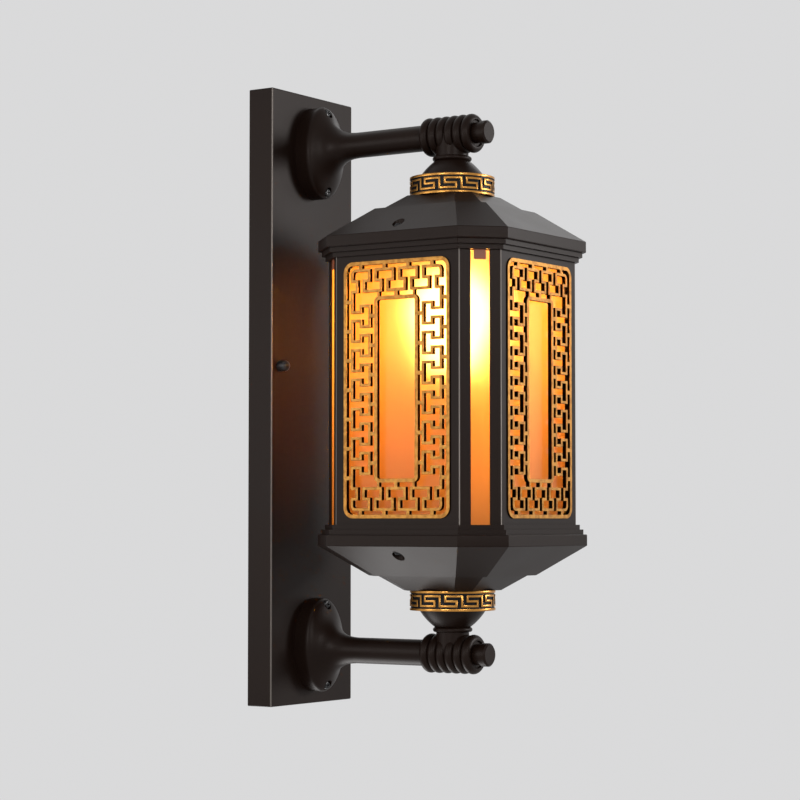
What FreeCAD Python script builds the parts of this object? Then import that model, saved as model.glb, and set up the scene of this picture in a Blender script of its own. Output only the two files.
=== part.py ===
import FreeCAD, Part
import math
import os

V = FreeCAD.Vector
X_AXIS = V(1, 0, 0)
Y_AXIS = V(0, 1, 0)
Z_AXIS = V(0, 0, 1)
ORIGIN = V(0, 0, 0)

# Outdoor wall light, in millimetres. The wall is the plane Y = 0 and the light stands out towards -Y.
# The pieces are drawn with z = 0 at the middle of the plate and of the lantern, and the lantern's own
# pieces around a vertical axis through x = y = 0. At the end all of them move so that the origin is
# the centre of the wall bracket's slots.

# Backplate: a shallow cast pan, open towards the wall
plate_width = 108.0
plate_margin = 9.5
plate_depth = 22.5
plate_wall = 2.0
plate_edge_r = 1.2
plate_boss_r = 5.0
plate_boss_length = 9.0

# Wall bracket and its two studs
bracket_rise = 23.0
bracket_clearance = 2.0
bracket_height = 20.0
bracket_thickness = 2.5
slot_spacing = 60.0
slot_width = 4.8
slot_length = 12.0
stud_spacing = 88.0
stud_r = 2.5
stud_grip = 5.5
stud_clearance = 0.25
cap_nut_r = 4.4
cap_nut_height = 9.0
cap_nut_wall = 1.5

# Lantern: an octagon with four wide faces and four narrow corner faces
lantern_reach = 153.5
body_half = 76.5
body_chamfer = 22.0
body_edge_r = 0.9
ring_step = 2.8
ring_lip = 3.8
ring_height = 3.6
slot_face_width = 14.2
slot_wall = 1.0
slot_seat = 3.5

# Roof and base cover
rim_step = 2.5
rim_height = 3.7
rim_landing = 3.3
fascia_step = 2.6
fascia_height = 8.5
eave_slope_half = 52.3
eave_slope_rise = 22.5
ledge_half = 47.1
crown_half = 30.4
crown_rise = 11.2
roof_wall = 3.0
roof_edge_r = 0.8
cover_screw_inset = 2.5
cover_boss_r = 5.5
cover_recess_r = 4.6
cover_recess_depth = 3.6

# Fretwork panels: borders, tabs and one running ribbon
fret_width = 93.3
fret_height = 190.5
fret_thickness = 3.4
fret_proud = 1.2
fret_corner_r = 8.0
fret_clearance = 0.15
fret_seat = 1.4
fret_lip = 2.0
fret_margin = 4.75
border_stroke = 2.7
ribbon_stroke = 2.0
tab_stroke = 2.8
corner_tab_stroke = 1.6
corner_tab_inset = 2.3
segment_length = 15.3
ribbon_step = 7.8
ribbon_corner_r = 3.0
outer_tab_length = 6.1
end_tab_length = 5.1
inner_tab_length = 5.7
window_corner_r = 4.2

# Panes
pane_thickness = 3.0
pane_clearance = 0.2
pane_side_gap = 1.4
pane_top_gap = 0.6
corner_pane_gap = 0.15
clip_width = 9.0
clip_drop = 7.4
clip_thickness = 0.8
clip_clearance = 0.05

# Key band
band_r = 32.5
band_height = 15.0
band_rim = 1.7
band_relief = 0.8
band_wall = 3.2
band_web = 3.0
key_units = 12
key_stroke = 1.45
key_step = 3.7

# Bell, collar, arm and finial
bell_foot_r = 25.2
bell_waist_r = 21.5
bell_neck_r = 13.4
bell_height = 16.5
bead_r = 15.0
bead_height = 3.6
neck_length = 16.5
arm_r = 10.0
arm_bore_r = 5.5
arm_spigot_step = 2.2
arm_spigot_length = 9.0
spigot_clearance = 0.2
collar_rings = 6
collar_pitch = 7.5
collar_wall = 3.4
collar_ring_depth = 3.5
dish_r = 10.6
dish_depth = 1.6
dish_taper = 0.8
neck_r = 12.5
finial_neck_r = 7.9
finial_neck_length = 4.7
finial_knob_r = 8.8
finial_face_r = 7.4
finial_knob_length = 6.1
finial_bevel = 1.2
foot_half_width = 24.0
foot_half_height = 36.5
foot_offset = 3.5
foot_wall = 10.0
flare_length = 34.0
flare_shoulder = 0.26
flare_sweep = 0.12
flare_sections = 8
foot_screw_inset = 5.0
foot_seat_rise = 2.8
spot_face_r = 3.9

# Screws, threaded tubes and nuts
screw_r = 1.9
screw_head_r = 3.3
screw_head_height = 2.5
screw_clearance = 0.25
thread_clearance = 0.05
tube_r = 5.0
tube_bore_r = 3.6
tube_clearance = 0.15
nut_flats = 17.0
nut_height = 5.0

# Lamp holder, bulb, terminal block and lead
holder_r = 17.5
holder_cup_r = 14.0
holder_base_r = 11.0
holder_base_height = 10.0
holder_floor = 3.0
holder_cup_depth = 25.0
bulb_centre_height = 62.0
bulb_r = 30.0
bulb_cap_r = 13.2
bulb_cap_length = 27.0
bulb_length = 107.0
lead_r = 2.1
lead_clearance = 0.4
lead_bend_r = 9.0
block_width = 40.0
block_height = 16.0
block_drop = 60.0

# Heights and radii that follow from the driving dimensions
frame_wall = fret_thickness - fret_proud + fret_lip
body_half_height = fret_height / 2 + fret_margin
ribbon_half_width = (fret_width - border_stroke) / 2 - outer_tab_length
ribbon_half_height = (fret_height - border_stroke) / 2 - end_tab_length
row_pitch = (ribbon_half_width - segment_length / 2) / 1.5
column_pitch = (ribbon_half_height - segment_length / 2 - 2 * ribbon_step) / 3
corner_face = (2 * body_half - body_chamfer) / math.sqrt(2)
corner_pane_front = corner_face - slot_wall - corner_pane_gap
frame_inner_half = body_half - frame_wall
ring_half = body_half + ring_step
ring_lip_half = frame_inner_half - ring_lip
rim_half = ring_half + rim_step
rim_inner_half = ring_half - rim_landing
fascia_half = rim_half + fascia_step
cover_screw_reach = body_half - cover_screw_inset
ring_top = body_half_height + ring_height
fascia_bottom = ring_top + rim_height
fascia_top = fascia_bottom + fascia_height
ledge_height = fascia_top + eave_slope_rise
crown_height = ledge_height + crown_rise
band_top = crown_height + band_height
bell_top = band_top + bell_height
arm_height = bell_top + neck_length
foot_height = arm_height - foot_offset
plate_height = 2 * (foot_height + foot_half_height + plate_margin)
bracket_length = plate_width - 2 * (plate_wall + bracket_clearance)
eave_slope = eave_slope_rise / (fascia_half - eave_slope_half)
collar_length = collar_rings * collar_pitch
arm_spigot_r = arm_r - arm_spigot_step
collar_bore_r = arm_spigot_r + spigot_clearance
collar_valley_r = collar_bore_r + collar_wall
collar_crest_r = collar_valley_r + collar_ring_depth
nipple_hole_r = tube_r + tube_clearance
plate_front = -plate_depth
plate_inside = -(plate_depth - plate_wall)
foot_screw_offset = foot_half_height - foot_screw_inset
foot_seat = foot_wall + foot_seat_rise
block_depth = plate_boss_length + 2 * (lead_r + lead_clearance)
bulb_bottom = bulb_centre_height + bulb_r - bulb_length
holder_bottom = bulb_bottom - holder_floor - holder_base_height


def box(x0, x1, y0, y1, z0, z1):
    return Part.makeBox(x1 - x0, y1 - y0, z1 - z0, V(x0, y0, z0))


def rod(radius, start, end):
    return Part.makeCylinder(radius, (end - start).Length, start, end - start)


def flat_face(points):
    return Part.Face(Part.makePolygon(points + points[:1]))


def turned_over(shape):
    """The same piece upside down, as far below the lantern's middle height."""
    copy = shape.copy()
    copy.rotate(ORIGIN, Y_AXIS, 180)
    return copy


def turned(shape, degrees):
    copy = shape.copy()
    copy.rotate(ORIGIN, Z_AXIS, degrees)
    return copy


def at_lantern(shape):
    moved = shape.copy()
    moved.translate(V(0, -lantern_reach, 0))
    return moved


def spun(edges):
    """A solid of revolution about the vertical axis, from a closed outline of edges in the XZ plane."""
    return Part.Face(Part.Wire(edges)).revolve(ORIGIN, Z_AXIS, 360)


def outline(points):
    """Closed edges through (radius, height) points; a point's third value is the middle of its arc."""
    edges = []
    for i, point in enumerate(points):
        start = V(points[i - 1][0], 0, points[i - 1][1])
        end = V(point[0], 0, point[1])
        if len(point) == 3:
            middle = V(point[2][0], 0, point[2][1])
            edges.append(Part.Arc(start, middle, end).toShape())
        else:
            edges.append(Part.LineSegment(start, end).toShape())
    return edges


def chamfer_at(half):
    """Leg of the corner chamfer on an octagon that runs parallel to the body's."""
    return body_chamfer + (half - body_half) * (2 - math.sqrt(2))


def octagon(half, leg, z):
    inner = half - leg
    corners = [(half, inner), (inner, half), (-inner, half), (-half, inner)]
    corners += [(-x, -y) for x, y in corners]
    return [V(x, y, z) for x, y in corners]


def octagon_prism(half, z0, z1):
    return flat_face(octagon(half, chamfer_at(half), z0)).extrude(V(0, 0, z1 - z0))


def octagon_stack(profile):
    """A solid with flat sides through octagons, each given as (half width, chamfer leg, height)."""
    levels = [octagon(*level) for level in profile]
    faces = [flat_face(levels[0]), flat_face(levels[-1])]
    for lower, upper in zip(levels, levels[1:]):
        for i in range(8):
            faces.append(flat_face([lower[i - 1], lower[i], upper[i], upper[i - 1]]))
    return Part.makeSolid(Part.makeShell(faces)).removeSplitter()


def eased(shape, radius, edges):
    """The shape with the edges that the test accepts rounded off."""
    return shape.makeFillet(radius, [edge for edge in shape.Edges if edges(edge)])


def upright(edge):
    return abs(edge.tangentAt(edge.FirstParameter).z) > 0.5


def pan_head_screw(seat, tip):
    """A screw whose head stands on the point seat, with its shank ending at the point tip."""
    out = (seat - tip).normalize()
    head = Part.makeCylinder(screw_head_r, screw_head_height, seat, out)
    rim = [e for e in head.Edges if abs((e.CenterOfMass - seat).dot(out) - screw_head_height) < 1e-6]
    head = head.makeFillet(screw_head_height * 0.5, rim)
    return head.fuse(rod(screw_r, tip, seat))


def backplate():
    half_w = plate_width / 2
    half_h = plate_height / 2
    pan = box(-half_w, half_w, plate_front, 0, -half_h, half_h)
    pan = eased(pan, plate_edge_r, lambda edge: edge.CenterOfMass.y < -plate_depth / 4)
    inside_w = half_w - plate_wall
    inside_h = half_h - plate_wall
    pan = pan.cut(box(-inside_w, inside_w, plate_inside, 1, -inside_h, inside_h))
    for z in foot_screw_heights():
        boss_end = V(0, plate_inside + plate_boss_length, z)
        pan = pan.fuse(rod(plate_boss_r, V(0, plate_inside, z), boss_end))
        pan = pan.cut(rod(screw_r + thread_clearance, V(0, plate_front, z), boss_end))
    for x in (-stud_spacing / 2, stud_spacing / 2):
        start = V(x, plate_front, bracket_rise)
        pan = pan.cut(rod(stud_r + stud_clearance, start, start + V(0, plate_wall, 0)))
    start = V(0, plate_front, -arm_height)
    pan = pan.cut(rod(arm_bore_r, start, start + V(0, plate_wall, 0)))
    return pan.removeSplitter()


def mounting_bracket():
    half = bracket_length / 2
    bar = box(-half, half, -bracket_thickness, 0, -bracket_height / 2, bracket_height / 2)
    straight = (slot_length - slot_width) / 2
    for x in (-slot_spacing / 2, slot_spacing / 2):
        ends = [rod(slot_width / 2, V(x + s, -bracket_thickness, 0), V(x + s, 0, 0))
                for s in (-straight, straight)]
        middle = box(x - straight, x + straight, -bracket_thickness, 0, -slot_width / 2, slot_width / 2)
        bar = bar.cut(middle.multiFuse(ends).removeSplitter())
    for x in (-stud_spacing / 2, stud_spacing / 2):
        bar = bar.cut(rod(stud_r + thread_clearance, V(x, -bracket_thickness, 0), V(x, 0, 0)))
    bar.translate(V(0, 0, bracket_rise))
    return bar


def bracket_studs():
    studs = []
    for x in (-stud_spacing / 2, stud_spacing / 2):
        studs.append(rod(stud_r, V(x, 0, bracket_rise), V(x, plate_front - stud_grip, bracket_rise)))
    return Part.makeCompound(studs)


def cap_nuts():
    side = cap_nut_height - cap_nut_r
    bore = stud_r + thread_clearance
    depth = cap_nut_height - cap_nut_wall
    dome_mid = (cap_nut_r * math.sqrt(0.5), side + cap_nut_r * math.sqrt(0.5))
    points = [(0, depth), (bore, depth), (bore, 0), (cap_nut_r, 0), (cap_nut_r, side)]
    nut = spun(outline(points + [(0, cap_nut_height, dome_mid)]))
    nut.rotate(ORIGIN, X_AXIS, 90)
    nuts = []
    for x in (-stud_spacing / 2, stud_spacing / 2):
        copy = nut.copy()
        copy.translate(V(x, plate_front, bracket_rise))
        nuts.append(copy)
    return Part.makeCompound(nuts)


def terminal_block():
    top = -block_drop
    body = box(-block_width / 2, block_width / 2, plate_inside, plate_inside + block_depth,
               top - block_height, top)
    channel = block_width / 8
    for x in (-block_width / 4, 0, block_width / 4):
        body = body.cut(rod(channel / 2, V(x, plate_inside + block_depth, top - block_height / 2),
                            V(x, plate_inside + block_depth / 2, top - block_height / 2)))
    return body


def foot_screw_heights():
    upper = [foot_height - foot_screw_offset, foot_height + foot_screw_offset]
    return upper + [-z for z in upper]


def oval(depth, half_width, half_height, z):
    """An oval wire parallel to the wall, depth in front of the plate."""
    curve = Part.Circle(ORIGIN, Z_AXIS, half_width)
    if half_height > half_width:
        curve = Part.Ellipse(ORIGIN, half_height, half_width)
    wire = Part.Wire(curve.toShape())
    wire.rotate(ORIGIN, Y_AXIS, -90)
    wire.rotate(ORIGIN, Z_AXIS, -90)
    wire.translate(V(0, plate_front - depth, z))
    return wire


def upper_arm():
    """Oval foot, flare, tube and spigot in one casting, bored through for the lead."""
    base = Part.Face(oval(0, foot_half_width, foot_half_height, foot_height))
    foot = base.extrude(V(0, -foot_wall, 0))
    sections = []
    for i in range(flare_sections + 1):
        t = i / flare_sections
        share = 3 * (1 - t) ** 2 * t * flare_shoulder + 3 * (1 - t) * t ** 2 * flare_sweep + t ** 3
        flare = (1 - t) ** 3 + 3 * (1 - t) ** 2 * t
        half_width = arm_r + (foot_half_width - arm_r) * flare
        half_height = arm_r + (foot_half_height - arm_r) * flare
        z = foot_height + foot_offset * (1 - flare)
        sections.append(oval(foot_wall + flare_length * share, half_width, half_height, z))
    flare_solid = Part.makeLoft(sections, True)
    tube_start = V(0, plate_front - foot_wall - flare_length, arm_height)
    tube_end = V(0, -lantern_reach + collar_length / 2, arm_height)
    spigot_end = tube_end - V(0, arm_spigot_length, 0)
    arm = foot.multiFuse([flare_solid, rod(arm_r, tube_start, tube_end)])
    arm = arm.fuse(rod(arm_spigot_r, tube_end, spigot_end))
    arm = arm.cut(rod(arm_bore_r, V(0, plate_front, arm_height), spigot_end))
    for sign in (-1, 1):
        z = foot_height + sign * foot_screw_offset
        seat = V(0, plate_front - foot_seat, z)
        arm = arm.cut(rod(spot_face_r, seat, seat - V(0, flare_length, 0)))
        arm = arm.cut(rod(screw_r + screw_clearance, V(0, plate_front, z), seat))
    return arm.removeSplitter()


def upper_foot_screws():
    tip_y = plate_inside + plate_boss_length - screw_r
    screws = []
    for sign in (-1, 1):
        z = foot_height + sign * foot_screw_offset
        screws.append(pan_head_screw(V(0, plate_front - foot_seat, z), V(0, tip_y, z)))
    return Part.makeCompound(screws)


def upper_collar():
    """Six rounded rings on one bored barrel, with a tee neck down to the bell."""
    half = collar_length / 2
    points = [(collar_bore_r, -half), (collar_valley_r, -half)]
    for i in range(collar_rings):
        crest = -half + (i + 0.5) * collar_pitch
        points.append((collar_valley_r, crest + collar_pitch / 2, (collar_crest_r, crest)))
    points[-1] = (dish_r + dish_taper / 4, half, (collar_crest_r, half - collar_pitch / 2))
    points += [(dish_r, half), (dish_r - dish_taper, half - dish_depth), (collar_bore_r, half - dish_depth)]
    barrel = spun(outline(points))
    barrel.rotate(ORIGIN, X_AXIS, 90)
    barrel.translate(V(0, 0, arm_height))
    neck = rod(neck_r, V(0, 0, bell_top), V(0, 0, arm_height))
    neck = neck.cut(rod(collar_bore_r, V(0, half, arm_height), V(0, -half, arm_height)))
    collar = barrel.fuse(neck)
    return collar.cut(rod(nipple_hole_r, V(0, 0, bell_top), V(0, 0, arm_height))).removeSplitter()


def upper_finial():
    start = -arm_spigot_length - dish_depth
    neck_end = finial_neck_length
    knob_end = neck_end + finial_knob_length
    points = [(0, start), (arm_spigot_r, start), (arm_spigot_r, -dish_depth),
              (finial_neck_r, -dish_depth), (finial_neck_r, neck_end), (finial_knob_r, neck_end),
              (finial_knob_r, knob_end - finial_bevel), (finial_face_r, knob_end), (0, knob_end)]
    knob = spun(outline(points))
    knob.rotate(ORIGIN, X_AXIS, 90)
    knob.translate(V(0, -collar_length / 2, arm_height))
    return knob


def upper_bell():
    bead_bottom = bell_top - bead_height
    waist_height = band_top + (bead_bottom - band_top) * 0.4
    points = [(nipple_hole_r, band_top), (bell_foot_r, band_top),
              (bell_neck_r, bead_bottom, (bell_waist_r, waist_height)),
              (bell_neck_r, bell_top, (bead_r, bell_top - bead_height / 2)),
              (nipple_hole_r, bell_top)]
    return spun(outline(points))


def key_block(start_angle, end_angle, z0, z1):
    """One raised stroke of the key: a slice of a ring between two angles and two heights."""
    sunk = band_r - 2 * band_relief
    face = flat_face([V(sunk, 0, z0), V(band_r, 0, z0), V(band_r, 0, z1), V(sunk, 0, z1)])
    return turned(face.revolve(ORIGIN, Z_AXIS, end_angle - start_angle), start_angle)


def upper_key_band():
    """A ring with two rims and a running key between them, closed by a web under the bell."""
    ground_r = band_r - band_relief
    inner_r = ground_r - band_wall
    rim_low = crown_height + band_rim
    rim_high = band_top - band_rim
    points = [(inner_r, crown_height), (band_r, crown_height), (band_r, rim_low), (ground_r, rim_low),
              (ground_r, rim_high), (band_r, rim_high), (band_r, band_top), (nipple_hole_r, band_top),
              (nipple_hole_r, band_top - band_web), (inner_r, band_top - band_web)]
    ring = spun(outline(points))
    unit = 360.0 / key_units
    half = math.degrees(key_stroke / 2 / band_r)
    reach = key_stroke / 2
    middle = crown_height + band_height / 2
    low = middle - key_step
    high = middle + key_step
    near = unit * 0.25
    far = unit * 0.75
    strokes = [(-half, half, low - reach, high + reach), (-half, far + half, low - reach, low + reach),
               (far - half, far + half, low - reach, middle + reach),
               (near - half, far + half, middle - reach, middle + reach),
               (near - half, near + half, middle - reach, high + reach),
               (near - half, unit + half, high - reach, high + reach)]
    blocks = []
    for i in range(key_units):
        start = (i + 0.5) * unit
        blocks += [key_block(start + a, start + b, z0, z1) for a, b, z0, z1 in strokes]
    return ring.multiFuse(blocks).removeSplitter()


def cover_screw_points():
    """Head seat and tip of each cover screw, on the left and right slopes of the roof."""
    slope_height = fascia_top + (fascia_half - cover_screw_reach) * eave_slope
    seat = slope_height - cover_recess_depth
    tip = ring_top - ring_height * 0.75
    return [(V(x, 0, seat), V(x, 0, tip)) for x in (-cover_screw_reach, cover_screw_reach)]


def roof():
    """A hollow stepped casting: rim, fascia, main slope, narrow ledge and crown."""
    ratio = chamfer_at(fascia_half) / fascia_half
    slopes = [(half, half * ratio, z) for half, z in (
        (fascia_half, fascia_top), (eave_slope_half, ledge_height),
        (ledge_half, ledge_height), (crown_half, crown_height))]
    rim = eased(octagon_prism(rim_half, ring_top, fascia_bottom), roof_edge_r, upright)
    fascia = octagon_prism(fascia_half, fascia_bottom, fascia_top)
    shell = octagon_stack(slopes).fuse(fascia).removeSplitter()
    shell = eased(shell, roof_edge_r, lambda edge: edge.CenterOfMass.z < ledge_height - roof_edge_r)
    shell = shell.fuse(rim)
    hollow = octagon_stack([(half, leg, z - roof_wall) for half, leg, z in slopes])
    hollow = hollow.fuse(octagon_prism(fascia_half, ring_top, fascia_top - roof_wall))
    hollow = hollow.common(octagon_prism(rim_inner_half, ring_top, crown_height))
    bosses = []
    for seat, tip in cover_screw_points():
        bosses.append(rod(cover_boss_r, V(seat.x, 0, ring_top), seat))
    shell = shell.cut(hollow).multiFuse(bosses)
    for seat, tip in cover_screw_points():
        shell = shell.cut(rod(cover_recess_r, seat, seat + V(0, 0, eave_slope_rise)))
        shell = shell.cut(rod(screw_r + screw_clearance, V(seat.x, 0, ring_top), seat))
    hole = rod(nipple_hole_r, V(0, 0, ledge_height), V(0, 0, crown_height))
    return shell.cut(hole).removeSplitter()


def roof_screws():
    return Part.makeCompound([pan_head_screw(seat, tip) for seat, tip in cover_screw_points()])


def rounded_panel(width, height, corner_r, y):
    """A rounded rectangle in a plane across the view from the front, at depth y."""
    w = width / 2
    h = height / 2
    panel = flat_face([V(-w, y, -h), V(w, y, -h), V(w, y, h), V(-w, y, h)])
    solid = panel.extrude(V(0, 1, 0))
    solid = eased(solid, corner_r, lambda edge: abs(edge.tangentAt(edge.FirstParameter).y) > 0.5)
    return [f for f in solid.Faces if abs(f.CenterOfMass.y - y) < 1e-6][0]


def body_frame():
    """Octagonal casting with a lipped ring at each end, four rebated windows and four corner slots."""
    frame = eased(octagon_prism(body_half, -body_half_height, body_half_height), body_edge_r, upright)
    ring = eased(octagon_prism(ring_half, body_half_height, ring_top), body_edge_r, upright)
    frame = frame.multiFuse([ring, turned_over(ring)])
    frame = frame.cut(octagon_prism(frame_inner_half, -body_half_height, body_half_height))
    frame = frame.cut(octagon_prism(ring_lip_half, -ring_top, ring_top))
    grown = 2 * fret_clearance
    seat_y = fret_thickness - fret_proud - body_half
    rebate = rounded_panel(fret_width + grown, fret_height + grown, fret_corner_r, -body_half)
    rebate = rebate.extrude(V(0, seat_y + body_half, 0))
    shrunk = 2 * fret_seat
    through = rounded_panel(fret_width - shrunk, fret_height - shrunk, fret_corner_r, -body_half)
    window = rebate.fuse(through.extrude(V(0, frame_wall, 0)))
    half_slot = slot_face_width / 2
    half_pocket = half_slot + slot_seat + pane_clearance
    slot = box(-half_slot, half_slot, -2 * body_half, -body_half, -body_half_height, body_half_height)
    slot = slot.fuse(box(-half_pocket, half_pocket, slot_wall - corner_face, -body_half,
                         -body_half_height, body_half_height))
    for i in range(4):
        frame = frame.cut(turned(window, 90 * i))
        frame = frame.cut(turned(slot, 45 + 90 * i))
    for seat, tip in cover_screw_points():
        hole = rod(screw_r + thread_clearance, tip - V(0, 0, screw_clearance), V(tip.x, 0, ring_top))
        frame = frame.cut(hole).cut(turned_over(hole))
    return frame.removeSplitter()


def ribbon_corners():
    """Corners of the ribbon's centre line in the first quadrant, from the top row to the right column."""
    half = segment_length / 2
    x_out = ribbon_half_width
    x_in = x_out - 2 * ribbon_step
    z_out = ribbon_half_height
    z_in = z_out - 2 * ribbon_step
    x_mid = x_out - ribbon_step
    z_mid = z_in + ribbon_step
    points = [(half, z_in), (half, z_mid)]
    for k, level in ((0.5, z_out), (1.0, z_in), (1.5, z_out)):
        start = k * row_pitch - half
        end = k * row_pitch + half
        points += [(start, z_mid), (start, level)]
        if k < 1.5:
            points += [(end, level), (end, z_mid)]
    back = (segment_length - (column_pitch - segment_length)) / 2
    for turn in (0, 22.5, 45, 67.5, 90):
        rise = 1 - math.cos(math.radians(turn))
        reach = 1 - math.sin(math.radians(turn))
        points.append((x_out - ribbon_corner_r * reach, z_out - ribbon_corner_r * rise))
    points += [(x_out, z_mid), (x_out - back, z_mid), (x_out - back, z_in), (x_out, z_in)]
    for step in range(6, -1, -1):
        k = step / 2
        level = x_in if step % 2 else x_out
        start = k * column_pitch + half
        end = k * column_pitch - half
        if step < 6:
            points += [(x_mid, start), (level, start)]
        if step > 0:
            points += [(level, end), (x_mid, end)]
    return points


def ribbon_edge(points, side):
    """The closed centre line moved sideways by half the ribbon's stroke."""
    corners = []
    for i, (x, z) in enumerate(points):
        x0, z0 = points[i - 1]
        x1, z1 = points[(i + 1) % len(points)]
        before = V(z0 - z, 0, x - x0).normalize()
        after = V(z - z1, 0, x1 - x).normalize()
        shift = (before + after) * (side * ribbon_stroke / 2 / (1 + before.dot(after)))
        corners.append(V(x, 0, z) + shift)
    return flat_face(corners)


def fret_panel():
    """Front fretwork panel: a ribbon that winds between two borders, held to them by short tabs."""
    quarter = ribbon_corners()
    loop = quarter + [(x, -z) for x, z in reversed(quarter)]
    loop += [(-x, -z) for x, z in quarter] + [(-x, z) for x, z in reversed(quarter)]
    edges = sorted((ribbon_edge(loop, side) for side in (-1, 1)), key=lambda face: face.Area)
    ribbon = edges[1].cut(edges[0])
    outer = rounded_panel(fret_width, fret_height, fret_corner_r, 0)
    hole = rounded_panel(fret_width - 2 * border_stroke, fret_height - 2 * border_stroke,
                         fret_corner_r - border_stroke, 0)
    x_out = ribbon_half_width
    z_out = ribbon_half_height
    x_in = x_out - 2 * ribbon_step
    z_in = z_out - 2 * ribbon_step
    x_border = x_in - inner_tab_length
    z_border = z_in - inner_tab_length
    grow = border_stroke / 2
    window_outer = rounded_panel(2 * (x_border + grow), 2 * (z_border + grow), window_corner_r, 0)
    window_inner = rounded_panel(2 * (x_border - grow), 2 * (z_border - grow),
                                 window_corner_r - border_stroke, 0)
    pieces = [outer.cut(hole), window_outer.cut(window_inner)]
    t = tab_stroke / 2
    x_edge = fret_width / 2 - grow
    z_edge = fret_height / 2 - grow
    for sign in (-1, 1):
        for k in (-1.5, -0.5, 0.5, 1.5):
            pieces.append(tab(k * row_pitch - t, k * row_pitch + t, sign * z_out, sign * z_edge))
        for k in (-1, 0, 1):
            middle = k * (x_border - corner_tab_inset)
            half = corner_tab_stroke / 2 if k else t
            pieces.append(tab(middle - half, middle + half, sign * z_in, sign * z_border))
        for k in range(-3, 4):
            pieces.append(tab(sign * x_out, sign * x_edge, k * column_pitch - t, k * column_pitch + t))
        for k in (-2.5, -1.5, -0.5, 0.5, 1.5, 2.5):
            pieces.append(tab(sign * x_in, sign * x_border, k * column_pitch - t, k * column_pitch + t))
    through = V(0, fret_thickness, 0)
    panel = ribbon.extrude(through).multiFuse([piece.extrude(through) for piece in pieces])
    panel.translate(V(0, -body_half - fret_proud, 0))
    return panel.removeSplitter()


def tab(x0, x1, z0, z1):
    return flat_face([V(x0, 0, z0), V(x1, 0, z0), V(x1, 0, z1), V(x0, 0, z1)])


def wide_pane():
    front = -frame_inner_half + pane_clearance
    back_half = -front - pane_thickness
    half_width = back_half - chamfer_at(back_half) - pane_side_gap
    return box(-half_width, half_width, front, front + pane_thickness,
               -body_half_height, body_half_height - pane_top_gap)


def corner_pane():
    half_width = slot_face_width / 2 + slot_seat
    top = body_half_height - clip_thickness - pane_clearance
    pane = box(-half_width, half_width, -corner_pane_front, pane_thickness - corner_pane_front,
               -body_half_height, top)
    return turned(pane, 45)


def corner_clips():
    """Bent clips hooked over the corner panes, with a leg that shows at the top of each corner slot."""
    w = clip_width / 2
    top = body_half_height
    leg_back = -corner_pane_front - clip_clearance
    leg_front = leg_back - clip_thickness
    leg = box(-w, w, leg_front, leg_back, top - clip_drop, top)
    hook = box(-w, w, leg_front, pane_thickness - corner_pane_front, top - clip_thickness, top)
    clip = leg.fuse(hook).removeSplitter()
    return Part.makeCompound([turned(clip, 45 + 90 * i) for i in range(4)])


def threaded_tube(z0, z1):
    tube = rod(tube_r, V(0, 0, z0), V(0, 0, z1))
    return tube.cut(rod(tube_bore_r, V(0, 0, z0), V(0, 0, z1)))


def upper_nipple():
    bottom = crown_height - roof_wall - 2 * nut_height
    return threaded_tube(bottom, arm_height - collar_bore_r - spigot_clearance)


def lower_nipple():
    return threaded_tube(-(arm_height - collar_bore_r - spigot_clearance),
                         holder_bottom + holder_base_height - spigot_clearance)


def nipple_nuts():
    top = crown_height - roof_wall
    r = nut_flats / math.sqrt(3)
    angles = [math.radians(60 * i) for i in range(6)]
    hexagon = [V(r * math.cos(angle), r * math.sin(angle), top) for angle in angles]
    nut = flat_face(hexagon).extrude(V(0, 0, -nut_height))
    nut = nut.cut(rod(tube_r + thread_clearance, V(0, 0, top - nut_height), V(0, 0, top)))
    return Part.makeCompound([nut, turned_over(nut)])


def lamp_holder():
    floor = bulb_bottom - holder_floor
    lead_r_hole = lead_r + lead_clearance
    points = [(tube_r + thread_clearance, holder_bottom), (holder_base_r, holder_bottom),
              (holder_r, floor), (holder_r, bulb_bottom + holder_cup_depth),
              (holder_cup_r, bulb_bottom + holder_cup_depth), (holder_cup_r, bulb_bottom),
              (lead_r_hole, bulb_bottom), (lead_r_hole, floor), (tube_r + thread_clearance, floor)]
    return spun(outline(points))


def bulb():
    cap_top = bulb_bottom + bulb_cap_length
    shoulder = bulb_centre_height - bulb_r * 0.6
    shoulder_r = bulb_r * 0.8
    points = [(0, bulb_bottom), (bulb_cap_r * 0.6, bulb_bottom),
              (bulb_cap_r, bulb_bottom + bulb_cap_r * 0.4),
              (bulb_cap_r, cap_top), (shoulder_r, shoulder),
              (0, bulb_centre_height + bulb_r, (bulb_r, bulb_centre_height))]
    return spun(outline(points))


def lamp_lead():
    """Lead from the terminal block down the pan, through the lower arm and up the tube to the holder."""
    bend = lead_bend_r
    y_pan = plate_inside + plate_boss_length + lead_r + lead_clearance
    y_lantern = -lantern_reach
    z_arm = -arm_height
    start = V(0, y_pan, -block_drop - block_height)
    a = V(0, y_pan, z_arm + bend)
    b = V(0, y_pan - bend, z_arm)
    c = V(0, y_lantern + bend, z_arm)
    d = V(0, y_lantern, z_arm + bend)
    end = V(0, y_lantern, bulb_bottom - holder_floor)
    turn = bend * (1 - math.sqrt(0.5))
    corner_1 = V(0, y_pan - turn, z_arm + turn)
    corner_2 = V(0, y_lantern + turn, z_arm + turn)
    path = Part.Wire([Part.LineSegment(start, a).toShape(), Part.Arc(a, corner_1, b).toShape(),
                      Part.LineSegment(b, c).toShape(), Part.Arc(c, corner_2, d).toShape(),
                      Part.LineSegment(d, end).toShape()])
    ring = Part.Wire(Part.Circle(start, Z_AXIS, lead_r).toShape())
    return path.makePipeShell([ring], True, False)


sides = (("front", 0), ("right", 90), ("back", 180), ("left", 270))
corners = (("front_right", 0), ("back_right", 90), ("back_left", 180), ("front_left", 270))

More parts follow.
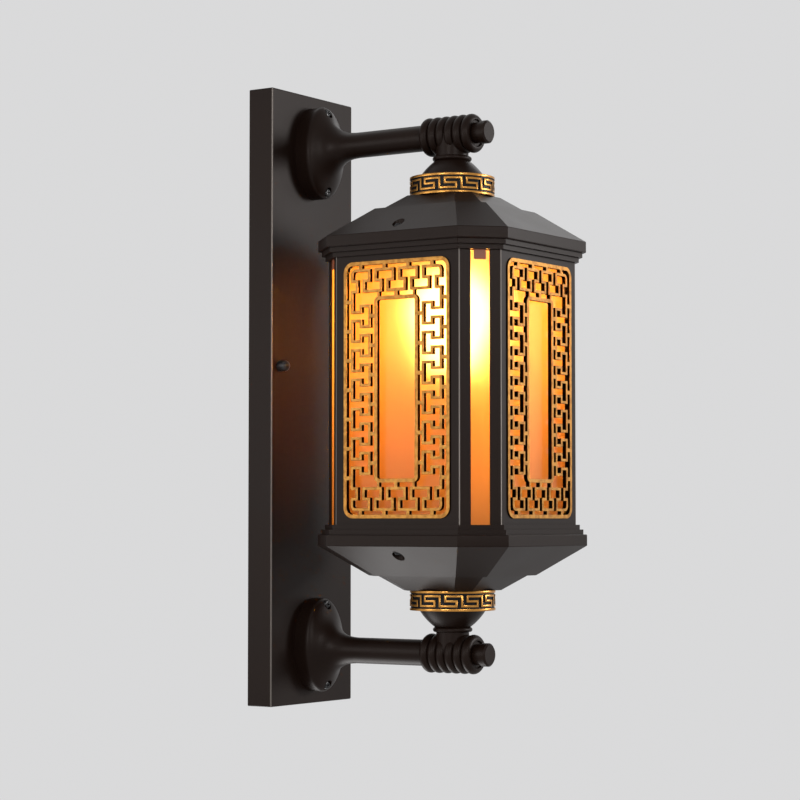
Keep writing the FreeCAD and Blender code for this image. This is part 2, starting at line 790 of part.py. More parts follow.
pieces = {
    "backplate": backplate(),
    "mounting_bracket": mounting_bracket(),
    "bracket_studs": bracket_studs(),
    "cap_nuts": cap_nuts(),
    "terminal_block": terminal_block(),
    "lamp_lead": lamp_lead(),
    "upper_arm": upper_arm(),
    "upper_foot_screws": upper_foot_screws(),
}
lantern_pieces = {
    "upper_collar": upper_collar(),
    "upper_finial": upper_finial(),
    "upper_bell": upper_bell(),
    "upper_key_band": upper_key_band(),
    "roof": roof(),
    "roof_screws": roof_screws(),
    "upper_nipple": upper_nipple(),
    "lower_nipple": lower_nipple(),
    "nipple_nuts": nipple_nuts(),
    "body_frame": body_frame(),
    "corner_clips": corner_clips(),
    "lamp_holder": lamp_holder(),
    "bulb": bulb(),
}
fret = fret_panel()
for side, degrees in sides:
    lantern_pieces["fret_" + side] = turned(fret, degrees)
    lantern_pieces["pane_" + side] = turned(wide_pane(), degrees)
for corner, degrees in corners:
    lantern_pieces["corner_pane_" + corner] = turned(corner_pane(), degrees)
lantern_pieces["base_cover"] = turned_over(lantern_pieces["roof"])
lantern_pieces["base_screws"] = turned_over(lantern_pieces["roof_screws"])
for name in ("collar", "finial", "bell", "key_band"):
    lantern_pieces["lower_" + name] = turned_over(lantern_pieces["upper_" + name])
for name in ("arm", "foot_screws"):
    pieces["lower_" + name] = turned_over(pieces["upper_" + name])
for name, shape in lantern_pieces.items():
    pieces[name] = at_lantern(shape)

os.makedirs("parts", exist_ok=True)
for name, shape in pieces.items():
    shape.translate(V(0, 0, -bracket_rise))
    shape.exportStep("parts/" + name + ".step")
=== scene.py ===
import math

import bpy
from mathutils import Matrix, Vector


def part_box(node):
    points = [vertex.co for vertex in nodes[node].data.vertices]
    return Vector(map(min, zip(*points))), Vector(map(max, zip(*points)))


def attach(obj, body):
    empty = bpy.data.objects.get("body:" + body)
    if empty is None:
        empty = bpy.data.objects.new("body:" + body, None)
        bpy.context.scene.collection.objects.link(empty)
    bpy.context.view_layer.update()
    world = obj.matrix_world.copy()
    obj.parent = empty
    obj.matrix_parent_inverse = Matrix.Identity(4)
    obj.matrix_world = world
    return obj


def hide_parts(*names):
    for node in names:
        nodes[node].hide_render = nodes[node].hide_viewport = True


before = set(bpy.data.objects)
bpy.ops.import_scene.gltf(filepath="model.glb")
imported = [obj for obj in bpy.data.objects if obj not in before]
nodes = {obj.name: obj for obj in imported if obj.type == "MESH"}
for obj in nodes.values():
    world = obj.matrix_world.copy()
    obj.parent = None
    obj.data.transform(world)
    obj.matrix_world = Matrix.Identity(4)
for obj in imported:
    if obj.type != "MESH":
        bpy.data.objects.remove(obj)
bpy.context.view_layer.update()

# Wall bracket and its two studs: a slotted strip of zinc-plated steel, screwed down through its slots,
# and two threaded studs that stand out from it and carry the backplate.


class Wire:
    """A node's socket that takes part in sums and products, and adds any other node to its tree."""

    def __init__(self, tree, socket=None):
        self.tree = tree
        self.socket = socket

    def node(self, kind, settings, inputs, output=0):
        made = self.tree.nodes.new(kind)
        for name, value in settings.items():
            setattr(made, name, value)
        for name, value in inputs.items():
            if isinstance(value, Wire):
                self.tree.links.new(value.socket, made.inputs[name])
            else:
                made.inputs[name].default_value = value
        return Wire(self.tree, made.outputs[output] if made.outputs else None)

    def maths(self, operation, a, b):
        return self.node("ShaderNodeMath", {"operation": operation}, {0: a, 1: b})

    def __add__(self, other):
        return self.maths("ADD", self, other)

    def __radd__(self, other):
        return self.maths("ADD", other, self)

    def __sub__(self, other):
        return self.maths("SUBTRACT", self, other)

    def __rsub__(self, other):
        return self.maths("SUBTRACT", other, self)

    def __mul__(self, other):
        return self.maths("MULTIPLY", self, other)

    def __rmul__(self, other):
        return self.maths("MULTIPLY", other, self)

    def __truediv__(self, other):
        return self.maths("DIVIDE", self, other)

    def __rtruediv__(self, other):
        return self.maths("DIVIDE", other, self)


def new_finish(name):
    """A material with an empty node tree, and a Wire to add its nodes with."""
    material = bpy.data.materials.new(name)
    material.use_nodes = True
    material.node_tree.nodes.clear()
    return material, Wire(material.node_tree)


def place(shade):
    """The place on a piece, in metres from the shared origin."""
    return shade.node("ShaderNodeTexCoord", {}, {}, "Object")


def noise(shade, where, scale, detail=3.0):
    inputs = {"Vector": where, "Scale": scale, "Detail": detail}
    return shade.node("ShaderNodeTexNoise", {}, inputs, "Fac")


def blend(shade, share, low, high):
    """A colour between two, by a share from 0 to 1."""
    return shade.node("ShaderNodeMix", {"data_type": "RGBA"}, {0: share, 6: low, 7: high}, 2)


def step_up(shade, value, start, end):
    """0 below start, 1 above end, and a smooth rise between them."""
    settings = {"interpolation_type": "SMOOTHSTEP"}
    inputs = {"Value": value, "From Min": start, "From Max": end}
    return shade.node("ShaderNodeMapRange", settings, inputs)


def bump(shade, height, strength, distance):
    inputs = {"Height": height, "Strength": strength, "Distance": distance}
    return shade.node("ShaderNodeBump", {}, inputs)


def coat_with(shade, inputs):
    """Ends the tree in one Principled shader with these values."""
    surface = shade.node("ShaderNodeBsdfPrincipled", {}, inputs)
    shade.node("ShaderNodeOutputMaterial", {}, {"Surface": surface})


def dress(names, material):
    """Gives CAD nodes their finish."""
    for name in names:
        slots = nodes[name].data.materials
        slots.clear()
        slots.append(material)


def zinc_plate():
    material, shade = new_finish("zinc_plate")
    where = place(shade)
    cloud = noise(shade, where, scale=90.0)
    fine = noise(shade, where, scale=1500.0, detail=2.0)
    coat_with(shade, {
        "Base Color": blend(shade, cloud, (0.42, 0.43, 0.45, 1), (0.60, 0.60, 0.58, 1)),
        "Metallic": 1.0,
        "Roughness": 0.30 + 0.22 * cloud,
        "Normal": bump(shade, fine, strength=0.25, distance=0.0002)})
    return material


zinc = zinc_plate()
dress(["mounting_bracket", "bracket_studs"], zinc)

# Backplate, arms, collars, finials and bells: aluminium castings with a satin dark bronze paint.
# The arms are screwed to the plate by their oval feet, and the collars slide over the arms' spigots.
plate_edge = 0.0006
# Width, colour and metal of the light edge bands: partly wear, partly a painted highlight along the
# edges.
plate_wear_and_highlight_band = 0.0013
edge_wear_and_highlight_colour = (0.17, 0.15, 0.135, 1)
edge_wear_and_highlight_metal = 0.8


def bronze_paint(name, wear_and_highlight_mask=None):
    """Satin paint, with a light metallic band where the edge mask is 1: edge wear with a painted
    highlight on it.
    """
    material, shade = new_finish(name)
    where = place(shade)
    cloud = noise(shade, where, scale=22.0, detail=5.0)
    grain = noise(shade, where, scale=1300.0, detail=2.0)
    colour = blend(shade, cloud, (0.0064, 0.0031, 0.0021, 1), (0.0118, 0.0058, 0.0038, 1))
    gleam = 0.0
    # Lighter, metallic edges: partly wear, partly a painted highlight.
    if wear_and_highlight_mask:
        edge = wear_and_highlight_mask(shade)
        colour = blend(shade, edge, colour, edge_wear_and_highlight_colour)
        gleam = edge_wear_and_highlight_metal * edge
    coat_with(shade, {
        "Base Color": colour,
        "Metallic": gleam,
        "Roughness": 0.36 + 0.08 * cloud,
        "Specular IOR Level": 0.12,
        "Specular Tint": (1.0, 0.91, 0.87, 1),
        "Normal": bump(shade, grain, strength=0.10, distance=0.0002)})
    return material


def plate_edges(shade):
    """1 along the two upright front edges of the backplate, where the light band of wear and painted
    highlight goes.
    """
    low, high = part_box("backplate")
    x, y = (shade.node("ShaderNodeSeparateXYZ", {}, {0: place(shade)}, axis) for axis in "XY")
    across = shade.maths("ABSOLUTE", x, 0.0)
    side = step_up(shade, across, high.x - plate_wear_and_highlight_band, high.x - plate_wear_and_highlight_band / 4)
    front = step_up(shade, 0.0 - y, -low.y - plate_wear_and_highlight_band, -low.y - plate_wear_and_highlight_band / 4)
    return side * front


paint = bronze_paint("bronze_paint")
# The backplate's upright front edges carry a light band: partly wear, partly a painted highlight.
dress(["backplate"], bronze_paint("plate_paint_with_edge_wear_and_highlight", plate_edges))
dress([level + piece for level in ("upper_", "lower_")
       for piece in ("arm", "collar", "finial", "bell")], paint)


def soften(names, width):
    """Rounds the sharp edges of CAD nodes a little, as casting leaves them."""
    weld_distance = 1e-5
    flat_angle = math.radians(1.0)
    sharp_angle = math.radians(40.0)
    for name in names:
        weld = nodes[name].modifiers.new("weld", "WELD")
        weld.merge_threshold = weld_distance
        flat = nodes[name].modifiers.new("flat", "DECIMATE")
        flat.decimate_type = "DISSOLVE"
        flat.angle_limit = flat_angle
        edge = nodes[name].modifiers.new("edge", "BEVEL")
        edge.width = width
        edge.segments = 2
        edge.limit_method = "ANGLE"
        edge.angle_limit = sharp_angle
        edge.harden_normals = True


soften(["backplate"], plate_edge)

# Domed nuts: turned steel, blackened. One is screwed on each stud, and they hold the backplate to
# the bracket.


def blackened_steel():
    material, shade = new_finish("blackened_steel")
    where = place(shade)
    cloud = noise(shade, where, scale=260.0)
    coat_with(shade, {
        "Base Color": blend(shade, cloud, (0.012, 0.012, 0.013, 1), (0.035, 0.034, 0.034, 1)),
        "Metallic": 0.6,
        "Roughness": 0.22 + 0.14 * cloud})
    return material


black_steel = blackened_steel()
dress(["cap_nuts"], black_steel)

# Screws of the arms' feet and of the two covers: blackened steel with pan heads and a cross recess.
# Two hold each foot to the plate, and two hold each cover to the frame.
screw_head_r = 0.0033
screw_head_height = 0.0025
screw_shank_r = 0.0019
cross_length = 0.0042
cross_width = 0.0010
cross_depth = 0.0012
merge_distance = 1e-6


def screw_tops():
    """Top of the head, outward direction and length of every screw."""
    tops = []
    for name in ("upper_foot_screws", "lower_foot_screws"):
        low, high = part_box(name)
        for z in (low.z + screw_head_r, high.z - screw_head_r):
            tops.append(((0.0, low.y, z), (0.0, -1.0, 0.0), high.y - low.y))
    for name, up in (("roof_screws", 1.0), ("base_screws", -1.0)):
        low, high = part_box(name)
        y = (low.y + high.y) / 2
        z = high.z if up > 0 else low.z
        for x in (low.x + screw_head_r, high.x - screw_head_r):
            tops.append(((x, y, z), (0.0, 0.0, up), high.z - low.z))
    return tops


def open_tree(name, numbers):
    """A tree of Geometry Nodes that is given a mesh, some numbers and a finish."""
    tree = bpy.data.node_groups.new(name, "GeometryNodeTree")
    kinds = {"Geometry": "NodeSocketGeometry", "Finish": "NodeSocketMaterial"}
    sockets = ["Geometry", *numbers, "Finish"]
    for socket in sockets:
        kind = kinds.get(socket, "NodeSocketFloat")
        tree.interface.new_socket(socket, in_out="INPUT", socket_type=kind)
    tree.interface.new_socket("Geometry", in_out="OUTPUT", socket_type="NodeSocketGeometry")
    wire = Wire(tree)
    return tree, wire, {socket: wire.node("NodeGroupInput", {}, {}, socket) for socket in sockets}


def close_tree(wire, instances, finish):
    """Ends the tree with real meshes in their finish."""
    solid = wire.node("GeometryNodeRealizeInstances", {}, {"Geometry": instances})
    painted = wire.node("GeometryNodeSetMaterial", {}, {"Geometry": solid, "Material": finish})
    wire.node("NodeGroupOutput", {}, {"Geometry": painted})


def screw_tree():
    """Screws with a cross recess, one on each point, along its attributes "out" and "length"."""
    tree, wire, given = open_tree("cross_screws", (
        "Head Radius", "Head Height", "Shank Radius", "Recess Length", "Recess Width", "Recess Depth"))
    radius = given["Head Radius"]
    height = given["Head Height"]
    pan_steepness = 1.5
    ball = wire.node("GeometryNodeMeshUVSphere", {},
                     {"Segments": 28, "Rings": 14, "Radius": radius}, "Mesh")
    spot = wire.node("GeometryNodeInputPosition", {}, {})
    x, y, z = (wire.node("ShaderNodeSeparateXYZ", {}, {0: spot}, axis) for axis in "XYZ")
    rise = wire.maths("MINIMUM", wire.maths("MAXIMUM", z, 0.0) * pan_steepness / radius, 1.0)
    dome = wire.node("ShaderNodeCombineXYZ", {}, {0: x, 1: y, 2: (rise - 1.0) * height})
    head = wire.node("GeometryNodeSetPosition", {}, {"Geometry": ball, "Position": dome})
    slot_length = given["Recess Length"]
    slot_width = given["Recess Width"]
    # Half of each block stands above the head, and the second slot is a little deeper, so that the
    # floors of the two don't share a plane.
    for along, across, deeper in ((slot_length, slot_width, 2.0), (slot_width, slot_length, 2.2)):
        depth = given["Recess Depth"] * deeper
        block = wire.node("ShaderNodeCombineXYZ", {}, {0: along, 1: across, 2: depth})
        cube = wire.node("GeometryNodeMeshCube", {}, {"Size": block}, "Mesh")
        head = wire.node("GeometryNodeMeshBoolean", {"operation": "DIFFERENCE"},
                         {"Mesh 1": head, "Mesh 2": cube})
    head = wire.node("GeometryNodeMergeByDistance", {}, {"Geometry": head, "Distance": merge_distance})
    out = wire.node("GeometryNodeInputNamedAttribute", {"data_type": "FLOAT_VECTOR"}, {"Name": "out"})
    length = wire.node("GeometryNodeInputNamedAttribute", {"data_type": "FLOAT"}, {"Name": "length"})
    turn = wire.node("FunctionNodeAlignRotationToVector", {"axis": "Z"}, {"Vector": out})
    heads = wire.node("GeometryNodeInstanceOnPoints", {},
                      {"Points": given["Geometry"], "Instance": head, "Rotation": turn})
    rod = wire.node("GeometryNodeMeshCylinder", {},
                    {"Vertices": 20, "Radius": given["Shank Radius"], "Depth": 1.0}, "Mesh")
    rod = wire.node("GeometryNodeTransform", {}, {"Geometry": rod, "Translation": (0.0, 0.0, -0.5)})
    sunk = wire.node("ShaderNodeVectorMath", {"operation": "SCALE"}, {0: out, "Scale": 0.0 - height})
    seats = wire.node("GeometryNodeSetPosition", {}, {"Geometry": given["Geometry"], "Offset": sunk})
    stretch = wire.node("ShaderNodeCombineXYZ", {}, {0: 1.0, 1: 1.0, 2: length - height})
    shanks = wire.node("GeometryNodeInstanceOnPoints", {},
                       {"Points": seats, "Instance": rod, "Rotation": turn, "Scale": stretch})
    both = wire.node("GeometryNodeJoinGeometry", {}, {"Geometry": heads})
    tree.links.new(shanks.socket, both.socket.node.inputs["Geometry"])
    close_tree(wire, both, given["Finish"])
    return tree


def grow(name, source, tree, values):
    """A plain mesh object from a tree of Geometry Nodes on a source mesh."""
    carrier = bpy.data.objects.new(name + "_source", source)
    bpy.context.collection.objects.link(carrier)
    modifier = carrier.modifiers.new(name, "NODES")
    modifier.node_group = tree
    for item in tree.interface.items_tree:
        if item.in_out == "INPUT" and item.name in values:
            modifier[item.identifier] = values[item.name]
    graph = bpy.context.evaluated_depsgraph_get()
    mesh = bpy.data.meshes.new_from_object(carrier.evaluated_get(graph), depsgraph=graph)
    carrier.modifiers.remove(modifier)
    bpy.data.objects.remove(carrier)
    piece = bpy.data.objects.new(name, mesh)
    bpy.context.collection.objects.link(piece)
    return piece


def make_screws():
    tops = screw_tops()
    points = bpy.data.meshes.new("screw_points")
    points.from_pydata([top for top, out, length in tops], [], [])
    points.attributes.new("out", "FLOAT_VECTOR", "POINT")
    points.attributes.new("length", "FLOAT", "POINT")
    for i, (top, out, length) in enumerate(tops):
        points.attributes["out"].data[i].vector = out
        points.attributes["length"].data[i].value = length
    screws = grow("cross_screws", points, screw_tree(), {
        "Head Radius": screw_head_r, "Head Height": screw_head_height, "Shank Radius": screw_shank_r,
        "Recess Length": cross_length, "Recess Width": cross_width, "Recess Depth": cross_depth,
        "Finish": black_steel})
    screws.data.shade_smooth()
    smooth_angle = math.radians(35)
    screws.data.set_sharp_from_angle(angle=smooth_angle)
    return screws


screws = make_screws()
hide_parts("upper_foot_screws", "lower_foot_screws", "roof_screws", "base_screws")
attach(screws, "root")

# Terminal block and lead inside the pan: moulded white plastic, and a two-core sheathed lead that runs
# down to the lower arm and through it to the lamp holder.


def moulded_white():
    material, shade = new_finish("moulded_white")
    cloud = noise(shade, place(shade), scale=300.0)
    coat_with(shade, {
        "Base Color": blend(shade, cloud, (0.74, 0.73, 0.69, 1), (0.82, 0.81, 0.78, 1)),
        "Roughness": 0.38 + 0.10 * cloud})
    return material


def lead_sheath():
    material, shade = new_finish("lead_sheath")
    cloud = noise(shade, place(shade), scale=500.0)
    coat_with(shade, {
        "Base Color": blend(shade, cloud, (0.020, 0.020, 0.021, 1), (0.045, 0.045, 0.046, 1)),
        "Roughness": 0.50 + 0.12 * cloud})
    return material


dress(["terminal_block"], moulded_white())
dress(["lamp_lead"], lead_sheath())

# Key bands: cast rings, one above the roof and one below the base, painted black in the ground and
# gold on the raised key and rims.
lantern_axis = (0.0, -0.1535, 0.0)
key_bands = ["upper_key_band", "lower_key_band"]
key_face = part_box("upper_key_band")[1].x
key_edge = 0.0003


def from_axis(shade):
    """The place on a piece, measured from the lantern's upright axis."""
    shift = tuple(-value for value in lantern_axis)
    return shade.node("ShaderNodeMapping", {}, {"Vector": place(shade), "Location": shift})


def axis_distance(shade):
    """Distance from the lantern's upright axis."""
    flat = shade.node("ShaderNodeVectorMath", {"operation": "MULTIPLY"},
                      {0: from_axis(shade), 1: (1.0, 1.0, 0.0)})
    return shade.node("ShaderNodeVectorMath", {"operation": "LENGTH"}, {0: flat}, "Value")


def key_gold():
    material, shade = new_finish("key_gold")
    where = place(shade)
    cloud = noise(shade, where, scale=160.0, detail=4.0)
    raised = step_up(shade, axis_distance(shade), key_face - key_edge, key_face - key_edge / 3)
    gold = blend(shade, cloud, (0.30, 0.112, 0.019, 1), (0.66, 0.34, 0.082, 1))
    coat_with(shade, {
        "Base Color": blend(shade, raised, (0.006, 0.006, 0.007, 1), gold),
        "Metallic": 0.85 * raised,
        "Roughness": 0.40 - 0.10 * raised,
        "Specular IOR Level": 0.10,
        "Normal": bump(shade, cloud, strength=0.12, distance=0.0005)})
    return material


dress(key_bands, key_gold())
soften(key_bands, key_edge)

# Roof, base cover and body frame: hollow castings in the same bronze paint, with a light band of wear
# and painted highlight along the frame's upright edges. The covers are screwed to the rings of the
# frame.
frame_half = 0.0765
frame_corner = 0.0926
frame_ring = 0.0036
frame_wear_and_highlight_band = 0.0005
cover_edge = 0.0007


def upright_edges(shade):
    """1 along the eight upright edges of the body frame, between its two rings, where the light band of
    wear and painted highlight goes.
    """
    where = from_axis(shade)
    x, y, z = (shade.node("ShaderNodeSeparateXYZ", {}, {0: where}, axis) for axis in "XYZ")
    x, y = (shade.maths("ABSOLUTE", across, 0.0) for across in (x, y))
    low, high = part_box("body_frame")
    straight = shade.maths("MAXIMUM", x, y)
    slanting = (x + y) * math.sqrt(0.5)
    side = step_up(shade, straight, frame_half - frame_wear_and_highlight_band, frame_half - frame_wear_and_highlight_band / 4)
    corner = step_up(shade, slanting, frame_corner - frame_wear_and_highlight_band, frame_corner - frame_wear_and_highlight_band / 4)
    above = shade.maths("GREATER_THAN", z, low.z + frame_ring)
    below = shade.maths("LESS_THAN", z, high.z - frame_ring)
    return side * corner * above * below


dress(["roof", "base_cover"], paint)
# The frame's upright edges carry a light band: partly wear, partly a painted highlight.
dress(["body_frame"], bronze_paint("frame_paint_with_edge_wear_and_highlight", upright_edges))
soften(["roof", "base_cover", "body_frame"], cover_edge)

# Walls of the covers' screw recesses: part of the same castings, thin collars that stand on the bosses
# and close each recess towards the hollow of its cover.
recess_r = 0.00455
recess_wall = 0.0021
recess_slope = 0.70
collar_thickness = 0.0007
collar_end = -0.0024


def collar_tree():
    """Collars cut on the slope of a cover, one on each point, turned by its attribute "turn"."""
    tree, wire, given = open_tree("recess_collars", ("Radius", "Wall", "Slope", "Thickness", "End"))
    tube = wire.node("GeometryNodeMeshCylinder", {"fill_type": "NONE"},
                     {"Vertices": 40, "Radius": given["Radius"], "Depth": 2.0}, "Mesh")
    spot = wire.node("GeometryNodeInputPosition", {}, {})
    x, y, z = (wire.node("ShaderNodeSeparateXYZ", {}, {0: spot}, axis) for axis in "XYZ")
    rise = (given["Wall"] + x * given["Slope"]) * wire.maths("MAXIMUM", z, 0.0)
    slanted = wire.node("ShaderNodeCombineXYZ", {}, {0: x, 1: y, 2: rise})
    inside = wire.node("GeometryNodeSetPosition", {}, {"Geometry": tube, "Position": slanted})
    beyond = wire.maths("LESS_THAN", x, given["End"])
    inside = wire.node("GeometryNodeDeleteGeometry", {"domain": "FACE"},
                       {"Geometry": inside, "Selection": beyond})
    outside = wire.node("GeometryNodeExtrudeMesh", {"mode": "FACES"}, {
        "Mesh": inside, "Offset Scale": given["Thickness"], "Individual": False}, "Mesh")
    collar = wire.node("GeometryNodeJoinGeometry", {}, {
        "Geometry": wire.node("GeometryNodeFlipFaces", {}, {"Mesh": inside})})
    tree.links.new(outside.socket, collar.socket.node.inputs["Geometry"])
    collar = wire.node("GeometryNodeMergeByDistance", {},
                       {"Geometry": collar, "Distance": merge_distance})
    turn = wire.node("GeometryNodeInputNamedAttribute", {"data_type": "FLOAT_VECTOR"}, {"Name": "turn"})
    turn = wire.node("FunctionNodeEulerToRotation", {}, {"Euler": turn})
    collars = wire.node("GeometryNodeInstanceOnPoints", {},
                        {"Points": given["Geometry"], "Instance": collar, "Rotation": turn})
    close_tree(wire, collars, given["Finish"])
    return tree


def make_collars():
    """One collar at each screw of the covers, with its high side towards the crown."""
    seats = []
    for name, up in (("roof_screws", 1.0), ("base_screws", -1.0)):
        low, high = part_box(name)
        z = high.z - screw_head_height if up > 0 else low.z + screw_head_height
        over = 0.0 if up > 0 else math.pi
        seats.append(((low.x + screw_head_r, lantern_axis[1], z), (over, 0.0, 0.0)))
        seats.append(((high.x - screw_head_r, lantern_axis[1], z), (over, 0.0, math.pi)))
    points = bpy.data.meshes.new("recess_seats")
    points.from_pydata([seat for seat, turn in seats], [], [])
    turns = points.attributes.new("turn", "FLOAT_VECTOR", "POINT")
    for i, (seat, turn) in enumerate(seats):
        turns.data[i].vector = turn
    return grow("recess_collars", points, collar_tree(), {
        "Radius": recess_r, "Wall": recess_wall, "Slope": recess_slope,
        "Thickness": collar_thickness, "End": collar_end, "Finish": paint})


collars = make_collars()
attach(collars, "root")

# Fretwork panels: four castings that stand a little proud of the frame's windows, rubbed gold on their
# faces and dark on the walls of every opening.
fret_face = lantern_axis[1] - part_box("fret_front")[0].y
fret_edge = 0.0005
fret_rub = 0.0002


def square_distance(shade):
    """Distance from the lantern's axis across the flat sides."""
    where = from_axis(shade)
    x, y = (shade.node("ShaderNodeSeparateXYZ", {}, {0: where}, axis) for axis in "XY")
    return shade.maths("MAXIMUM", shade.maths("ABSOLUTE", x, 0.0), shade.maths("ABSOLUTE", y, 0.0))


def rubbed_gold():
    material, shade = new_finish("rubbed_gold")
    where = place(shade)
    cloud = noise(shade, where, scale=45.0, detail=5.0)
    patches = noise(shade, where, scale=300.0, detail=4.0)
    worn = step_up(shade, patches, start=0.40, end=0.66)
    grain = noise(shade, where, scale=900.0, detail=2.0)
    rub_start = fret_face - fret_edge
    face = step_up(shade, square_distance(shade), rub_start, rub_start + fret_rub)
    gold = blend(shade, cloud, (0.26, 0.108, 0.022, 1), (0.47, 0.235, 0.056, 1))
    gold = blend(shade, 0.5 * worn, gold, (0.11, 0.040, 0.010, 1))
    coat_with(shade, {
        "Base Color": blend(shade, face, (0.0025, 0.0016, 0.0012, 1), gold),
        "Metallic": 0.80 * face,
        "Roughness": 0.85 - 0.52 * face + 0.10 * cloud,
        "Specular IOR Level": 0.0,
        "Normal": bump(shade, grain, strength=0.20, distance=0.0003)})
    return material


sides = ("front", "right", "back", "left")
frets = ["fret_" + side for side in sides]
dress(frets, rubbed_gold())
soften(frets, fret_edge)

# Panes: amber glass, frosted inside and polished outside, held behind the windows and corner slots.
# The bulb's light in them is painted in as an emission glow, brightest where they are nearest to it.
bulb_r = 0.030
glow_reach = 0.062
glow_fall = 2.5
pane_glow = 0.98
corner_glow = 2.8
bulb_centre = Vector((0.0, lantern_axis[1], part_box("bulb")[1].z - bulb_r))


def amber_glass(name, brightness):
    material, shade = new_finish(name)
    where = place(shade)
    away = shade.node("ShaderNodeVectorMath", {"operation": "DISTANCE"},
                      {0: where, 1: tuple(bulb_centre)}, "Value")
    cloud = noise(shade, where, scale=60.0)
    # Painted glow: emission that falls off with distance from the bulb, standing in for its light
    # through the frosted glass.
    glow = shade.maths("POWER", glow_reach / away, glow_fall) * (0.94 + 0.12 * cloud)
    coat_with(shade, {
        "Base Color": (0.92, 0.44, 0.090, 1),
        "Roughness": 0.50,
        "Transmission Weight": 1.0,
        "IOR": 1.3,
        "Coat Weight": 0.08,
        "Coat Roughness": 0.04,
        "Emission Color": blend(shade, glow, (0.0, 0.0, 0.0, 1), (0.78, 0.26, 0.018, 1)),
        "Emission Strength": brightness})
    return material


corners = ("front_right", "back_right", "back_left", "front_left")
dress(["pane_" + side for side in sides], amber_glass("amber_glass", pane_glow))
# The corner panes carry the same painted glow, made brighter.
dress(["corner_pane_" + corner for corner in corners], amber_glass("corner_amber_glass", corner_glow))

# Clips at the tops of the corner slots: bent steel strips, one in each slot, hooked over the glass.
# Their brown is painted light: the bulb's amber glow on their dark paint.


def glow_lit_clip_paint():
    material, shade = new_finish("glow_lit_clip_paint")
    cloud = noise(shade, place(shade), scale=220.0)
    coat_with(shade, {
        # This brown is the bulb's amber glow on the clips, painted in.
        "Base Color": blend(shade, cloud, (0.17, 0.045, 0.018, 1), (0.25, 0.070, 0.028, 1)),
        "Roughness": 0.42 + 0.12 * cloud})
    return material


dress(["corner_clips"], glow_lit_clip_paint())

# Threaded tubes with their nuts, lamp holder and bulb: zinc-plated tubes clamp the covers and carry a
# glazed ceramic holder with an opal glass bulb.
bulb_glow = 92.0
globe_start = bulb_centre.z - 0.045
globe_full = bulb_centre.z - 0.036
dress(["upper_nipple", "lower_nipple", "nipple_nuts"], zinc)


def glazed_ceramic():
    material, shade = new_finish("glazed_ceramic")
    cloud = noise(shade, place(shade), scale=140.0)
    coat_with(shade, {
        "Base Color": blend(shade, cloud, (0.76, 0.75, 0.71, 1), (0.84, 0.83, 0.80, 1)),
        "Roughness": 0.14 + 0.08 * cloud})
    return material


def lit_opal():
    material, shade = new_finish("lit_opal")
    height = shade.node("ShaderNodeSeparateXYZ", {}, {0: place(shade)}, "Z")
    globe = step_up(shade, height, globe_start, globe_full)
    coat_with(shade, {
        "Base Color": blend(shade, globe, (0.75, 0.74, 0.72, 1), (0.90, 0.88, 0.84, 1)),
        "Roughness": 0.30,
        "Emission Color": blend(shade, globe, (0.0, 0.0, 0.0, 1), (1.0, 0.92, 0.82, 1)),
        "Emission Strength": bulb_glow})
    return material


dress(["lamp_holder"], glazed_ceramic())
dress(["bulb"], lit_opal())
nodes["bulb"].visible_diffuse = False
nodes["bulb"].visible_glossy = False

# Studio: a pale floor that runs out into the grey of the room, soft light from all round, seven
# soft lamps, and the camera.
floor_height = -0.85
floor_radius = 6.0
fade_start = 0.6
fade_end = 1.2
floor_white = (0.86, 0.86, 0.86, 1)
room_grey = (0.700, 0.700, 0.705, 1)
room_light = (0.36, 0.36, 0.36, 1)
part_middle = (0.0, -0.12, -0.02)


def studio_floor():
    material, shade = new_finish("studio_floor")
    where = place(shade)
    out = shade.node("ShaderNodeVectorMath", {"operation": "LENGTH"}, {0: where}, "Value")
    near = shade.node("ShaderNodeBsdfDiffuse", {}, {"Color": floor_white})
    far = shade.node("ShaderNodeEmission", {}, {"Color": room_grey, "Strength": 1.0})
    fade = step_up(shade, out, fade_start, fade_end)
    surface = shade.node("ShaderNodeMixShader", {}, {0: fade, 1: near, 2: far})
    shade.node("ShaderNodeOutputMaterial", {}, {"Surface": surface})
    return material


bpy.ops.mesh.primitive_circle_add(vertices=96, radius=floor_radius, fill_type="NGON",
                                  location=(0.0, 0.0, floor_height))
floor = bpy.context.object
floor.name = "studio_floor"
floor.data.materials.append(studio_floor())


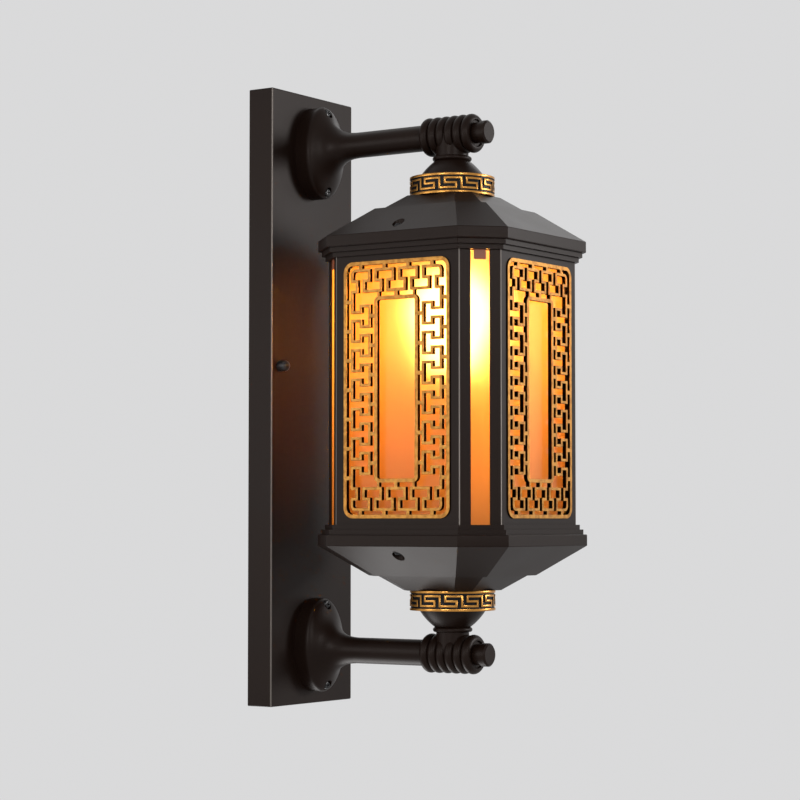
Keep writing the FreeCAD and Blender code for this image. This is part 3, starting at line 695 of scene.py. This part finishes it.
def studio_room():
    """The pale room as the eye, metal and glass see it, and the softer light that it sheds."""
    room = bpy.data.worlds.new("room")
    room.use_nodes = True
    room.node_tree.nodes.clear()
    shade = Wire(room.node_tree)
    seen = sum(shade.node("ShaderNodeLightPath", {}, {}, "Is %s Ray" % kind)
               for kind in ("Camera", "Glossy", "Transmission"))
    walls = shade.node("ShaderNodeBackground", {}, {"Color": blend(shade, seen, room_light, room_grey)})
    shade.node("ShaderNodeOutputWorld", {}, {"Surface": walls})
    return room


bpy.context.scene.world = studio_room()


def soft_lamp(name, position, size, power, target=part_middle):
    """A round soft lamp that faces its target."""
    data = bpy.data.lights.new(name, "AREA")
    data.shape = "DISK"
    data.size = size
    data.energy = power
    lamp = bpy.data.objects.new(name, data)
    lamp.location = position
    lamp.visible_camera = False
    aim = Vector(target) - Vector(position)
    lamp.rotation_euler = aim.to_track_quat("-Z", "Y").to_euler()
    bpy.context.collection.objects.link(lamp)


soft_lamp("lamp_key", position=(1.36, -1.73, 0.36), size=0.65, power=22.0)
soft_lamp("lamp_near", position=(-1.3, -2.0, 0.5), size=0.5, power=10.0)
soft_lamp("lamp_left", position=(-2.2, -0.45, 0.35), size=0.4, power=10.0)
soft_lamp("lamp_back_left", position=(-1.70, 1.00, 0.10), size=1.0, power=7.5)
soft_lamp("lamp_back_right", position=(1.70, 0.15, 1.15), size=0.8, power=2.4)
soft_lamp("lamp_above", position=(0.6, 0.9, 1.9), size=0.9, power=1.9)
soft_lamp("lamp_below", position=(0.12, 0.34, -0.74), size=0.5, power=3.2, target=(0.12, 0.34, 0.0))

camera_place = (-1.5432, -1.1332, -0.1214)
camera_tilt = math.radians(92.92)
camera_turn = math.radians(-56.34)
view = bpy.data.cameras.new("camera")
view.lens = 108.2
view.sensor_width = 36.0
camera = bpy.data.objects.new("camera", view)
camera.location = camera_place
camera.rotation_euler = (camera_tilt, 0.0, camera_turn)
bpy.context.collection.objects.link(camera)
bpy.context.scene.camera = camera
bpy.context.scene.view_settings.view_transform = "Standard"
